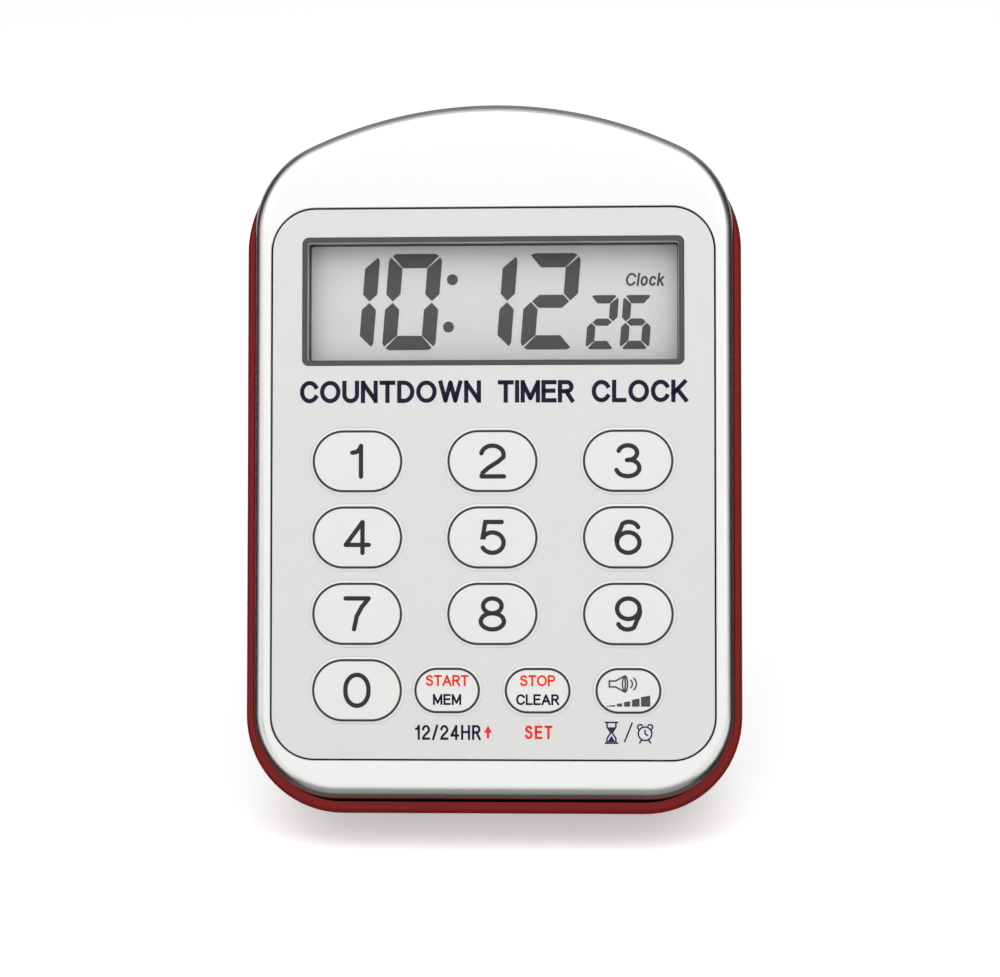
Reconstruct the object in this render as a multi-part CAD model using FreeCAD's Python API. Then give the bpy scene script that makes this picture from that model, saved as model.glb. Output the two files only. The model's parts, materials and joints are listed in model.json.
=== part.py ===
import FreeCAD, Part
import math
import os

# Battery countdown timer with a numeric keypad, leaning on its fold-out stand.
# Everything is built in a face frame: X to the right, Y into the case, Z up the
# face, with the front of the bezel at Y = 0 and its bottom edge at Z = 0.
# One turn about X and one shift then put it on the floor, leaning back.
# All sizes are in millimetres.

V = FreeCAD.Vector

# ---- overall sizes ----
bezel_width = 68.9
bezel_height = 99.6
bezel_skirt_depth = 4.5
bezel_edge_radius = 2.4
bezel_wall = 1.6
arch_radius = 62.0
shoulder_radius = 13.6
bottom_corner_radius = 12.1

case_side_rim = 1.2          # how far the case shows outside the bezel, each side
case_bottom_rim = 2.5
case_top_drop = 1.0
case_shoulder_radius = 15.5
case_corner_radius = 14.0
case_front = 1.9
case_depth = 20.5
case_wall = 1.7
case_lip_radius = 0.9
case_back_radius = 3.0
foot_height = 0.15           # two flat feet moulded on the case's rear lower edge
foot_x = bezel_width / 2.0 - 17.45
foot_half_width = 3.0
foot_half_depth = 0.8
foot_root = 0.9              # how far up into the wall each foot is joined

# ---- named clearances ----
seam_gap = 0.15
panel_gap = 0.25
key_gap = 0.14
flange_gap = 0.15
part_gap = 0.05
loose_gap = 0.20
running_gap = 0.05

# ---- keypad panel ----
panel_side = 2.77            # bezel left showing beside the panel
panel_bottom = 5.43
panel_top_margin = 15.30
panel_width = bezel_width - 2 * panel_side
panel_height = bezel_height - panel_bottom - panel_top_margin
panel_corner_radius = 6.1
panel_front = 0.10
panel_back = 1.50
floor_back = 2.60            # back of the bezel plate behind the panel

# ---- keys ----
column_pitch = panel_width * 0.3062
row_pitch = panel_height * 0.1386
last_row_z = 15.20
large_key = (column_pitch * 0.691, row_pitch * 0.860)
small_key_pitch = column_pitch * 2 / 3
small_key = (small_key_pitch * 0.765, row_pitch * 0.640)
key_proud = 0.14
key_edge_radius = 0.26
key_flange = 0.30            # how far the hidden flange reaches past the cap
key_flange_thickness = 0.60
key_travel = 0.35
key_stem_radius = 1.7
dome_radius = 2.6
dome_height = 0.55

# ---- display ----
display_width = panel_width * 0.8654
display_height = 18.45
display_z = panel_bottom + panel_height - 13.28
display_corner_radius = 0.95
display_band = 0.72
display_draft = 0.22
display_depth = 3.10
window_thickness = 0.50
glass_thickness = 1.50

# ---- circuit board ----
board_front = 6.20
board_thickness = 1.20
board_half_width = bezel_width / 2.0 - 3.25
board_bottom = 8.6
board_top = panel_bottom + panel_height - 1.0
board_screw_x = board_half_width - 2.0

# ---- battery (AAA) and its bay ----
battery_radius = 5.25
battery_length = 44.5
bay_z = bezel_height * 0.6287
bay_half_height = 5.55
bay_half_length = 25.0
bay_wall = 0.8
bay_rib_x = 21.0             # ribs under the bay that steady the board
door_thickness = 1.4
door_hinge_radius = 1.4
trunnion_radius = 0.70
trunnion_length = 1.5

# ---- stand ----
stand_half_width = 16.5
stand_thickness = 2.0
stand_angle = 33.0
stand_pivot_z = bay_z - 14.8
stand_length = stand_pivot_z - 2.5
stand_knuckle_radius = 1.6
stand_pin_radius = 0.75
stand_heel = 3.2
stand_tip_radius = 1.2
pad_flat = 0.10              # depth of the flat the pad rests on
pocket_floor = 1.4

# ---- magnets, buzzer and screws ----
magnet_radius = 5.0
magnet_thickness = 2.0
magnet_x = bezel_width / 2.0 - 10.4
magnet_z = bay_z + 19.7
buzzer_radius = 8.0
buzzer_z = bay_z + 18.7
screw_head_radius = 1.7
screw_shank_radius = 0.80
case_screw_x = bezel_width / 2.0 - 10.95
case_screws = [(-case_screw_x, 4.6), (case_screw_x, 4.6), (0.0, bezel_height - 5.1)]

# ---- derived sizes ----
half_bezel = bezel_width / 2.0
half_case = half_bezel + case_side_rim
case_bottom = -case_bottom_rim
case_top = bezel_height - case_top_drop
stand_pivot_y = case_depth - stand_knuckle_radius
battery_y = case_depth - door_thickness - 0.1 - battery_radius
board_back = board_front + board_thickness
board_screw_z = (12.0, bay_z - bay_half_height - bay_wall - screw_head_radius - 0.4)
key_rows = [last_row_z + row_pitch * n for n in (3, 2, 1, 0)]
glass_front = display_depth + part_gap + window_thickness + part_gap
glass_back = glass_front + glass_thickness

made = {}


def box(x0, x1, y0, y1, z0, z1):
    return Part.makeBox(x1 - x0, y1 - y0, z1 - z0, V(x0, y0, z0))


def cyl_y(x, z, r, y0, y1):
    return Part.makeCylinder(r, y1 - y0, V(x, y0, z), V(0, 1, 0))


def cyl_x(y, z, r, x0, x1):
    return Part.makeCylinder(r, x1 - x0, V(x0, y, z), V(1, 0, 0))


def prism(wire, y0, y1):
    face = Part.Face(wire)
    face.translate(V(0, y0, 0))
    return face.extrude(V(0, y1 - y0, 0))


def arched_wire(half, bottom, top, arch, shoulder, corner):
    """Flat-sided outline with an arched top, round shoulders and round lower corners."""
    centre = top - arch
    sx = half - shoulder
    reach = arch - shoulder
    sz = centre + math.sqrt(reach ** 2 - sx ** 2)
    lean = math.atan2(sx, sz - centre)
    mid = (math.pi / 2 + lean) / 2

    def on(r, cx, cz, angle):
        return V(cx + r * math.sin(angle), 0, cz + r * math.cos(angle))

    right_top = on(arch, 0, centre, lean)
    left_top = V(-right_top.x, 0, right_top.z)
    right_mid = on(shoulder, sx, sz, mid)
    low = bottom + corner
    cut = corner * (1 - math.sqrt(0.5))
    edges = [
        Part.Arc(left_top, V(0, 0, top), right_top).toShape(),
        Part.Arc(right_top, right_mid, V(half, 0, sz)).toShape(),
        Part.makeLine(V(half, 0, sz), V(half, 0, low)),
        Part.Arc(V(half, 0, low), V(half - cut, 0, bottom + cut), V(half - corner, 0, bottom)).toShape(),
        Part.makeLine(V(half - corner, 0, bottom), V(corner - half, 0, bottom)),
        Part.Arc(V(corner - half, 0, bottom), V(cut - half, 0, bottom + cut), V(-half, 0, low)).toShape(),
        Part.makeLine(V(-half, 0, low), V(-half, 0, sz)),
        Part.Arc(V(-half, 0, sz), V(-right_mid.x, 0, right_mid.z), left_top).toShape(),
    ]
    return Part.Wire(edges)


def bezel_wire(grow):
    return arched_wire(half_bezel + grow, -grow, bezel_height + grow, arch_radius + grow,
                       shoulder_radius + grow, bottom_corner_radius + grow)


def case_wire(grow):
    return arched_wire(half_case + grow, case_bottom - grow, case_top + grow, arch_radius + grow,
                       case_shoulder_radius + grow, case_corner_radius + grow)


def round_rect_wire(cx, cz, w, h, r):
    x, z = w / 2.0, h / 2.0
    k = r * (1 - math.sqrt(0.5))
    edges = []
    corners = [(1, 1), (1, -1), (-1, -1), (-1, 1)]
    for n, (sx, sz) in enumerate(corners):
        nx, nz = corners[(n + 1) % 4]
        top_first = sx == sz
        if top_first:
            start = V(cx + sx * (x - r), 0, cz + sz * z)
            end = V(cx + sx * x, 0, cz + sz * (z - r))
        else:
            start = V(cx + sx * x, 0, cz + sz * (z - r))
            end = V(cx + sx * (x - r), 0, cz + sz * z)
        middle = V(cx + sx * (x - k), 0, cz + sz * (z - k))
        edges.append(Part.Arc(start, middle, end).toShape())
        if nx == nz:
            following = V(cx + nx * (x - r), 0, cz + nz * z)
        else:
            following = V(cx + nx * x, 0, cz + nz * (z - r))
        if end.distanceToPoint(following) > 1e-6:
            edges.append(Part.makeLine(end, following))
    return Part.Wire(edges)


def round_rect(cx, cz, w, h, r, y0, y1):
    return prism(round_rect_wire(cx, cz, w, h, r), y0, y1)


def stadium(cx, cz, w, h, y0, y1):
    r = h / 2.0
    x = w / 2.0 - r
    edges = [
        Part.makeLine(V(cx - x, 0, cz + r), V(cx + x, 0, cz + r)),
        Part.Arc(V(cx + x, 0, cz + r), V(cx + x + r, 0, cz), V(cx + x, 0, cz - r)).toShape(),
        Part.makeLine(V(cx + x, 0, cz - r), V(cx - x, 0, cz - r)),
        Part.Arc(V(cx - x, 0, cz - r), V(cx - x - r, 0, cz), V(cx - x, 0, cz + r)).toShape(),
    ]
    return prism(Part.Wire(edges), y0, y1)


def edges_at(shape, y, inside=None):
    """Edges lying wholly in the plane at this depth."""
    found = []
    for edge in shape.Edges:
        b = edge.BoundBox
        if abs(b.YMin - y) < 1e-4 and abs(b.YMax - y) < 1e-4:
            found.append(edge)
    return found


def wire_run(points, r, bend):
    """A round wire: straight runs joined by arcs of one bend radius."""
    points = [V(*p) for p in points]
    edges = []
    last = points[0]
    for before, corner, after in zip(points, points[1:], points[2:]):
        back = (before - corner).normalize()
        ahead = (after - corner).normalize()
        half = back.getAngle(ahead) / 2.0
        reach = bend / math.tan(half)
        start = corner + back * reach
        end = corner + ahead * reach
        inward = (back + ahead).normalize()
        middle = corner + inward * (bend / math.sin(half) - bend)
        edges.append(Part.LineSegment(last, start).toShape())
        edges.append(Part.Arc(start, middle, end).toShape())
        last = end
    edges.append(Part.LineSegment(last, points[-1]).toShape())
    path = Part.Wire(edges)
    profile = Part.Wire(Part.makeCircle(r, points[0], points[1] - points[0]))
    return Part.Solid(path.makePipeShell([profile], True, False))


def key_layout():
    keys = []
    order = [("7", "8", "9"), ("4", "5", "6"), ("1", "2", "3")]
    for names, z in zip(order, [key_rows[2], key_rows[1], key_rows[0]]):
        for n, name in enumerate(names):
            keys.append(("key_" + name, (n - 1) * column_pitch, z, large_key))
    keys.append(("key_0", -column_pitch, key_rows[3], large_key))
    for n, name in enumerate(("start", "stop", "volume")):
        x = column_pitch - small_key_pitch * (2 - n)
        keys.append(("key_" + name, x, key_rows[3], small_key))
    return keys


def make_bezel():
    body = prism(bezel_wire(0), 0, bezel_skirt_depth)
    body = body.makeFillet(bezel_edge_radius, edges_at(body, 0))
    body = body.cut(prism(bezel_wire(-bezel_wall), floor_back, bezel_skirt_depth + 1))
    panel_z = panel_bottom + panel_height / 2.0
    body = body.cut(round_rect(0, panel_z, panel_width + 2 * panel_gap, panel_height + 2 * panel_gap,
                               panel_corner_radius + panel_gap, -1, panel_back))
    for name, x, z, size in key_layout():
        room = 2 * (key_flange + flange_gap)
        body = body.cut(stadium(x, z, size[0] + room, size[1] + room, 0, floor_back + 1))
    body = body.cut(round_rect(0, display_z, display_width + 2 * part_gap, display_height + 2 * part_gap,
                               display_corner_radius, 0, floor_back + 1))
    for sx in (-1, 1):
        for z in board_screw_z:
            body = body.fuse(cyl_y(sx * board_screw_x, z, 2.0, floor_back - 0.3, board_front))
    for x, z in case_screws:
        body = body.fuse(cyl_y(x, z, 2.1, floor_back - 0.3, 8.0))
    for sx in (-1, 1):
        for z in board_screw_z:
            body = body.cut(cyl_y(sx * board_screw_x, z, screw_shank_radius, 3.0, board_front + 1))
    for x, z in case_screws:
        body = body.cut(cyl_y(x, z, screw_shank_radius, 3.0, 9.0))
    made["front_bezel"] = body


def make_panel():
    panel_z = panel_bottom + panel_height / 2.0
    plate = round_rect(0, panel_z, panel_width, panel_height, panel_corner_radius, panel_front, panel_back)
    for name, x, z, size in key_layout():
        plate = plate.cut(stadium(x, z, size[0] + 2 * key_gap, size[1] + 2 * key_gap, -1, panel_back + 1))
    plate = plate.cut(round_rect(0, display_z, display_width + 2 * part_gap, display_height + 2 * part_gap,
                                 display_corner_radius, -1, panel_back + 1))
    made["keypad_panel"] = plate


def make_keys():
    front = panel_front - key_proud
    flange_front = panel_back + part_gap
    flange_back = flange_front + key_flange_thickness
    stem_end = board_front - dome_height - part_gap
    for name, x, z, size in key_layout():
        cap = stadium(x, z, size[0], size[1], front, flange_front + 0.2)
        cap = cap.makeFillet(key_edge_radius, edges_at(cap, front))
        flange = stadium(x, z, size[0] + 2 * key_flange, size[1] + 2 * key_flange, flange_front, flange_back)
        stem = cyl_y(x, z, key_stem_radius, flange_back - 0.2, stem_end)
        made[name] = cap.fuse(flange).fuse(stem).removeSplitter()


def make_domes():
    """Thin sheet on the board with one snap dome under each key."""
    keys = key_layout()
    zs = [k[2] for k in keys]
    sheet = box(-28.0, 28.0, board_front - 0.1, board_front, min(zs) - 5.0, max(zs) + 5.0)
    ball = (dome_radius ** 2 + dome_height ** 2) / (2 * dome_height)
    for name, x, z, size in keys:
        cap = Part.makeSphere(ball, V(x, board_front - dome_height + ball, z))
        cap = cap.common(box(x - 3, x + 3, board_front - 1, board_front - 0.05, z - 3, z + 3))
        sheet = sheet.fuse(cap)
    for sx in (-1, 1):
        for z in board_screw_z:
            sheet = sheet.cut(cyl_y(sx * board_screw_x, z, 2.3, board_front - 1, board_front + 1))
    made["snap_domes"] = sheet.removeSplitter()


def make_display():
    outer = round_rect(0, display_z, display_width, display_height, display_corner_radius, 0.05, display_depth)
    flange = round_rect(0, display_z, display_width + 1.6, display_height + 1.6, display_corner_radius,
                        floor_back + part_gap, display_depth)
    w = display_width - 2 * display_band
    h = display_height - 2 * display_band
    near = round_rect_wire(0, display_z, w, h, 0.35)
    far = round_rect_wire(0, display_z, w - 2 * display_draft, h - 2 * display_draft, 0.35)
    near.translate(V(0, 0.05, 0))
    far.translate(V(0, display_depth, 0))
    mouth = Part.makeLoft([near, far], True, True)
    made["lcd_frame"] = outer.fuse(flange).cut(mouth).removeSplitter()

    half_w = display_width / 2.0 + 0.8
    half_h = display_height / 2.0 + 1.4
    y = display_depth + part_gap
    z0, z1 = display_z - half_h, display_z + half_h
    made["lcd_window"] = box(-half_w, half_w, y, y + window_thickness, z0, z1)
    made["lcd_glass"] = box(-half_w, half_w, glass_front, glass_back, z0, z1)
    made["lcd_reflector"] = box(-half_w + 1, half_w - 1, glass_back, glass_back + 0.15, z0 + 2.4, z1 - 2.4)
    made["zebra_lower"] = box(-half_w + 1, half_w - 1, glass_back, board_front, z0 + 0.1, z0 + 1.9)
    made["zebra_upper"] = box(-half_w + 1, half_w - 1, glass_back, board_front, z1 - 1.9, z1 - 0.1)
    ring = box(-half_w - 1.6, half_w + 1.6, floor_back, board_front, z0 - 1.4, z1 + 1.4)
    ring = ring.cut(box(-half_w - loose_gap, half_w + loose_gap, 0, 10, z0 - loose_gap, z1 + loose_gap))
    made["lcd_holder"] = ring


def make_board():
    board = box(-board_half_width, board_half_width, board_front, board_back, board_bottom, board_top)
    for sx in (-1, 1):
        for z in board_screw_z:
            board = board.cut(cyl_y(sx * board_screw_x, z, screw_shank_radius + 0.1, 0, 20))
    for x, z in case_screws:
        board = board.cut(cyl_y(x, z, 2.6, 0, 20))
    for sx in (-1, 1):
        corner = box(0, 9, 0, 20, 0, 9)
        corner.rotate(V(0, 0, 0), V(0, 1, 0), 45)
        corner.translate(V(sx * (board_half_width + 2.2), 0, board_top + 2.2))
        board = board.cut(corner)
    made["circuit_board"] = board
    number = 1
    for sx in (-1, 1):
        for z in board_screw_z:
            made["board_screw_%d" % number] = screw(sx * board_screw_x, z, board_back, board_back - 3.2)
            number += 1

    mid = (board_bottom + display_z) / 2.0
    blob = Part.makeSphere(12.0, V(6.0, board_back + 1.5 - 12.0, mid - 8.0))
    blob = blob.common(box(-10, 20, board_back, board_back + 3, mid - 20.0, mid + 4.0))
    made["chip_blob"] = blob
    made["crystal_can"] = cyl_x(board_back + 1.1, mid + 4.0, 1.05, -6.0, 0.2)
    can = cyl_y(-19.0, mid - 6.0, 2.5, board_back, board_back + 5.5)
    made["capacitor_can"] = can.makeFillet(0.4, edges_at(can, board_back + 5.5))
    for n, (x, z) in enumerate(((-14.0, mid + 3.0), (-14.0, mid - 1.0), (16.0, mid + 3.0))):
        made["resistor_%d" % (n + 1)] = box(x, x + 2.0, board_back, board_back + 0.6, z, z + 1.25)


def screw(x, z, head_y, length):
    """Cross-slot pan screw entering towards the face, head seated at head_y."""
    head = cyl_y(x, z, screw_head_radius, head_y, head_y + 1.1)
    head = head.makeFillet(0.45, edges_at(head, head_y + 1.1))
    shank = cyl_y(x, z, screw_shank_radius - running_gap, head_y - length, head_y + 0.3)
    body = head.fuse(shank)
    for a, b in ((1.1, 0.22), (0.22, 1.1)):
        body = body.cut(box(x - a, x + a, head_y + 0.6, head_y + 2, z - b, z + b))
    return body.removeSplitter()


def make_case():
    shell = prism(case_wire(0), case_front, case_depth)
    shell = shell.makeFillet(case_lip_radius, edges_at(shell, case_front))
    shell = shell.makeFillet(case_back_radius, edges_at(shell, case_depth))
    shell = shell.cut(prism(bezel_wire(seam_gap), 0, bezel_skirt_depth + part_gap))
    shell = shell.cut(prism(case_wire(-case_wall), 0, case_depth - case_wall))
    inner = prism(case_wire(-0.4), bezel_skirt_depth + 1.0, case_depth - 0.4)

    # walls and blocks standing inside the case
    bay_floor = battery_y - battery_radius - 0.1 - bay_wall
    solids = [
        box(-bay_half_length - bay_wall, bay_half_length + bay_wall, bay_floor, case_depth - 0.5,
            bay_z - bay_half_height - bay_wall, bay_z + bay_half_height + bay_wall),
        box(-stand_half_width - 2.6, stand_half_width + 2.6, case_depth - stand_thickness - 0.3 - pocket_floor,
            case_depth - 0.5, -0.5, stand_pivot_z),
        box(-stand_half_width - 3.4, stand_half_width + 3.4, stand_pivot_y - 3.4,
            case_depth - 0.5, stand_pivot_z - 3.2, stand_pivot_z + 5.0),
    ]
    door_z = bay_z - bay_half_height - bay_wall - door_hinge_radius - 0.2
    for sx in (-1, 1):
        x0, x1 = sorted((sx * (bay_half_length + 0.8), sx * (bay_half_length + 3.4)))
        solids.append(box(x0, x1, case_depth - 3.6, case_depth - 0.5, door_z - 2.2, door_z + 2.2))
        solids.append(cyl_y(sx * magnet_x, magnet_z, magnet_radius + 1.2,
                            case_depth - magnet_thickness - 1.0, case_depth - 0.5))
    solids.append(cyl_y(0, buzzer_z, buzzer_radius + 1.2, case_depth - 4.4, case_depth - 0.5))
    for x, z in case_screws:
        solids.append(cyl_y(x, z, 2.9, 8.05, case_depth - 0.5))
    for x in (-bay_rib_x, bay_rib_x):
        solids.append(box(x - 0.6, x + 0.6, board_back + loose_gap, bay_floor + 0.4,
                          bay_z - bay_half_height, bay_z + bay_half_height))
    for solid in solids:
        shell = shell.fuse(solid.common(inner))

    # battery bay and the mouth its door fills
    shell = shell.cut(box(-bay_half_length, bay_half_length, bay_floor + bay_wall, case_depth + 1,
                          bay_z - bay_half_height, bay_z + bay_half_height))
    lid_top = bay_z + bay_half_height + 1.4
    shell = shell.cut(box(-bay_half_length - 0.5, bay_half_length + 0.5, case_depth - door_thickness - 0.05,
                          case_depth + 1, door_z, lid_top))
    shell = shell.cut(cyl_x(case_depth - door_hinge_radius, door_z, door_hinge_radius + loose_gap,
                            -bay_half_length - 0.5, bay_half_length + 0.5))
    shell = shell.cut(box(-bay_half_length - 0.5, bay_half_length + 0.5, case_depth - door_hinge_radius,
                          case_depth + 1, door_z - door_hinge_radius - loose_gap, door_z))
    shell = shell.cut(cyl_x(case_depth - door_hinge_radius, door_z, trunnion_radius + running_gap,
                            -bay_half_length - 2.3, bay_half_length + 2.3))
    shell = shell.cut(box(-4.0, 4.0, case_depth - 1.0, case_depth + 1, lid_top - 0.1, lid_top + 2.2))

    # stand pocket, knuckle channel, heel stop and pin bores
    half = stand_half_width + 0.4
    shell = shell.cut(box(-half, half, case_depth - stand_thickness - 0.3, case_depth + 1,
                          stand_pivot_z - stand_length - stand_tip_radius - 0.4, stand_pivot_z))
    shell = shell.cut(cyl_x(stand_pivot_y, stand_pivot_z, stand_knuckle_radius + loose_gap, -half, half))
    heel = box(-half, half, stand_pivot_y - 0.8 - 0.03, stand_pivot_y + 8,
               stand_pivot_z, stand_pivot_z + stand_heel + 0.3)
    heel.rotate(V(0, stand_pivot_y, stand_pivot_z), V(1, 0, 0), stand_angle)
    shell = shell.cut(heel)
    shell = shell.cut(cyl_x(stand_pivot_y, stand_pivot_z, stand_pin_radius + running_gap,
                            -stand_half_width - 2.6, stand_half_width + 2.6))

    # finger scoop beside the tip of the stand
    scoop = cyl_y(0, stand_pivot_z - stand_length - 1.0, 6.0, case_depth - 1.5, case_depth + 1)
    shell = shell.cut(scoop.common(box(-7, 7, 0, 40, 0.3, 20)))

    # magnet pockets, buzzer seat and sound holes
    for sx in (-1, 1):
        shell = shell.cut(cyl_y(sx * magnet_x, magnet_z, magnet_radius + part_gap,
                                case_depth - magnet_thickness - 0.1, case_depth + 1))
    shell = shell.cut(cyl_y(0, buzzer_z, buzzer_radius + part_gap, 4, case_depth - 2.9))
    shell = shell.cut(cyl_y(0, buzzer_z, buzzer_radius - 1.2, 4, case_depth - 1.7))
    sound = [(0, 0)]
    for n in range(6):
        a = math.radians(60 * n)
        sound.append((3.4 * math.cos(a), 3.4 * math.sin(a)))
    for dx, dz in sound:
        shell = shell.cut(cyl_y(dx, buzzer_z + dz, 0.8, case_depth - 3, case_depth + 1))

    # screw holes, each with a counterbore from the back
    for x, z in case_screws:
        shell = shell.cut(cyl_y(x, z, screw_shank_radius + 0.1, 4, case_depth + 1))
        shell = shell.cut(cyl_y(x, z, screw_head_radius + 0.15, 13.0, case_depth + 1))

    # slots that hold the two battery contacts
    for sx in (-1, 1):
        x0, x1 = sorted((sx * (bay_half_length - 0.05), sx * (bay_half_length + 0.3)))
        shell = shell.cut(box(x0, x1, battery_y - 3.6, battery_y + 3.6, bay_z - 4.1, bay_z + 4.1))
    made["rear_case"] = shell.removeSplitter()
    number = 1
    for x, z in case_screws:
        made["case_screw_%d" % number] = screw(x, z, 13.0, 9.0)
        number += 1


def make_battery():
    half = battery_length / 2.0
    shift = 0.9
    can = cyl_x(battery_y, bay_z, battery_radius, -half + shift, half - 0.8 + shift)
    ends = [e for e in can.Edges if e.Curve.TypeId == "Part::GeomCircle"]
    can = can.makeFillet(0.5, ends)
    nub = cyl_x(battery_y, bay_z, 1.9, half - 1.0 + shift, half + shift)
    made["battery_cell"] = can.fuse(nub).removeSplitter()

    wall = bay_half_length + 0.25
    plus = box(wall - 0.3, wall, battery_y - 3.5, battery_y + 3.5, bay_z - 4.0, bay_z + 4.0)
    reach = wall - 0.3 - (half + shift) - 0.02
    boss = cyl_x(battery_y, bay_z, 1.6, half + shift + 0.02, wall - 0.2)
    made["contact_plate"] = plus.fuse(boss).removeSplitter()

    minus = box(-wall, -wall + 0.3, battery_y - 3.5, battery_y + 3.5, bay_z - 4.0, bay_z + 4.0)
    gap = wall - 0.3 - (half - shift)
    root = -wall + 0.2
    crest = -wall + 0.3 + gap - 0.05
    outline = [(root, -3.0), (root + 0.5, -3.0), (crest, -1.2), (crest, 1.2), (root + 0.5, 3.0), (root, 3.0),
               (root, 2.6), (root + 0.3, 2.6), (crest - 0.3, 1.0), (crest - 0.3, -1.0), (root + 0.3, -2.6),
               (root, -2.6), (root, -3.0)]
    strip = Part.Face(Part.makePolygon([V(x, battery_y + y, 0) for x, y in outline])).extrude(V(0, 0, 5.0))
    strip.translate(V(0, 0, bay_z - 2.5))
    made["contact_spring"] = minus.fuse(strip).removeSplitter()


def make_door():
    """Battery door: a lid on two trunnions along its lower edge."""
    door_z = bay_z - bay_half_height - bay_wall - door_hinge_radius - 0.2
    axis_y = case_depth - door_hinge_radius
    lid_top = bay_z + bay_half_height + 1.4 - loose_gap
    half = bay_half_length + 0.5 - loose_gap
    lid = box(-half, half, case_depth - door_thickness, case_depth, door_z, lid_top)
    lid = lid.fuse(cyl_x(axis_y, door_z, door_hinge_radius, -half, half))
    lid = lid.fuse(cyl_x(axis_y, door_z, trunnion_radius, -half - trunnion_length, half + trunnion_length))
    lid = lid.fuse(box(-3.0, 3.0, case_depth - 0.8, case_depth, lid_top - 0.5, lid_top + 1.6))
    for n in range(5):
        z = lid_top - 1.6 - 0.9 * n
        lid = lid.cut(box(-6.0, 6.0, case_depth - 0.3, case_depth + 1, z - 0.22, z + 0.22))
    made["battery_door"] = lid.removeSplitter()


def make_magnets_and_buzzer():
    for name, sx in (("magnet_left", -1), ("magnet_right", 1)):
        made[name] = cyl_y(sx * magnet_x, magnet_z, magnet_radius,
                           case_depth - magnet_thickness - 0.05, case_depth - 0.05)
    y = case_depth - 2.9
    made["buzzer_plate"] = cyl_y(0, buzzer_z, buzzer_radius, y - 0.3, y)
    made["buzzer_ceramic"] = cyl_y(0, buzzer_z, 5.5, y - 0.5, y - 0.3)
    for name, x, start_y in (("buzzer_wire_1", 2.0, y - 0.85), ("buzzer_wire_2", 6.3, y - 0.65)):
        made[name] = wire_run([(x, start_y, buzzer_z - 1.0), (x, start_y - 2.4, buzzer_z - 3.2),
                               (x, board_back + 2.6, buzzer_z - 5.4), (x, board_back + 0.1, buzzer_z - 5.4)], 0.3, 1.2)


def make_stand():
    """Fold-out stand, built folded and then opened about its pin."""
    y0 = case_depth - stand_thickness
    tip_z = stand_pivot_z - stand_length
    tip_y = case_depth - stand_thickness / 2.0
    pivot = V(0, stand_pivot_y, stand_pivot_z)
    width = stand_half_width
    leg = box(-width, width, y0, case_depth, tip_z + 1.6, stand_pivot_z)
    leg = leg.fuse(cyl_x(stand_pivot_y, stand_pivot_z, stand_knuckle_radius, -width, width))
    heel = box(-width, width, stand_pivot_y - 0.8, stand_pivot_y + 0.9, stand_pivot_z, stand_pivot_z + stand_heel)
    leg = leg.fuse(heel)
    leg = leg.cut(cyl_x(stand_pivot_y, stand_pivot_z, stand_pin_radius + running_gap, -50, 50))
    window = round_rect(0, (tip_z + stand_pivot_z) / 2.0, 2 * width - 10.0, stand_length - 18.0, 3.0, y0 + 1.0, 40)
    leg = leg.cut(window)
    leg = leg.removeSplitter()

    pad = cyl_x(tip_y, tip_z, stand_tip_radius, -width, width)
    pad = pad.fuse(box(-width, width, y0, case_depth, tip_z, tip_z + 1.6)).removeSplitter()
    pin = cyl_x(stand_pivot_y, stand_pivot_z, stand_pin_radius, -width - 2.3, width + 2.3)
    for shape in (leg, pad):
        shape.rotate(pivot, V(1, 0, 0), stand_angle)
    made["stand_leg"] = leg
    made["stand_pad"] = pad
    made["stand_pin"] = pin


def lean_angle():
    """Lean, in radians, that brings the case's feet and the flat of the stand's pad level."""
    a = math.radians(stand_angle)
    offset = case_depth - stand_thickness / 2.0 - stand_pivot_y
    tip_y = stand_pivot_y + offset * math.cos(a) + stand_length * math.sin(a)
    tip_z = stand_pivot_z + offset * math.sin(a) - stand_length * math.cos(a)
    rise = tip_z - (case_bottom + case_back_radius)
    run = tip_y - (case_depth - case_back_radius)
    size = math.hypot(rise, run)
    reach = (stand_tip_radius - pad_flat) - (case_back_radius + foot_height)
    return math.acos(reach / size) - math.atan2(run, rise)


def main():
    make_bezel()
    make_panel()
    make_keys()
    make_domes()
    make_display()
    make_board()
    make_case()
    make_battery()
    make_door()
    make_magnets_and_buzzer()
    make_stand()

    lean = lean_angle()
    centre_z = case_bottom + case_back_radius
    centre_y = case_depth - case_back_radius
    floor = centre_z * math.cos(lean) - centre_y * math.sin(lean) - case_back_radius - foot_height
    for shape in made.values():
        shape.rotate(V(0, 0, 0), V(1, 0, 0), -math.degrees(lean))
    ys = []
    for name in ("front_bezel", "rear_case", "stand_leg", "stand_pad"):
        points, faces = made[name].tessellate(0.02)
        ys += [p.y for p in points]
    middle = (min(ys) + max(ys)) / 2.0
    shift = V(0, -middle, -floor)
    os.makedirs("parts", exist_ok=True)
    for shape in made.values():
        shape.translate(shift)
    below = box(-half_case, half_case, -bezel_height, bezel_height, -5.0, 0.0)
    made["stand_pad"] = made["stand_pad"].cut(below)
    foot_y = centre_y * math.cos(lean) + centre_z * math.sin(lean) + shift.y
    for x in (-foot_x, foot_x):
        foot = box(x - foot_half_width, x + foot_half_width,
                   foot_y - foot_half_depth, foot_y + foot_half_depth, 0.0, foot_root)
        made["rear_case"] = made["rear_case"].fuse(foot)
    for name, shape in sorted(made.items()):
        shape.exportStep("parts/%s.step" % name)
        print(name, "solids", len(shape.Solids), "valid", shape.isValid(), "volume %.2f" % shape.Volume)
    print("lean %.4f deg, shift y %.5f z %.5f" % (math.degrees(lean), shift.y, shift.z))


main()
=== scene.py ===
import json
import math

import bpy
import numpy as np
from mathutils import Matrix, Vector


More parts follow.
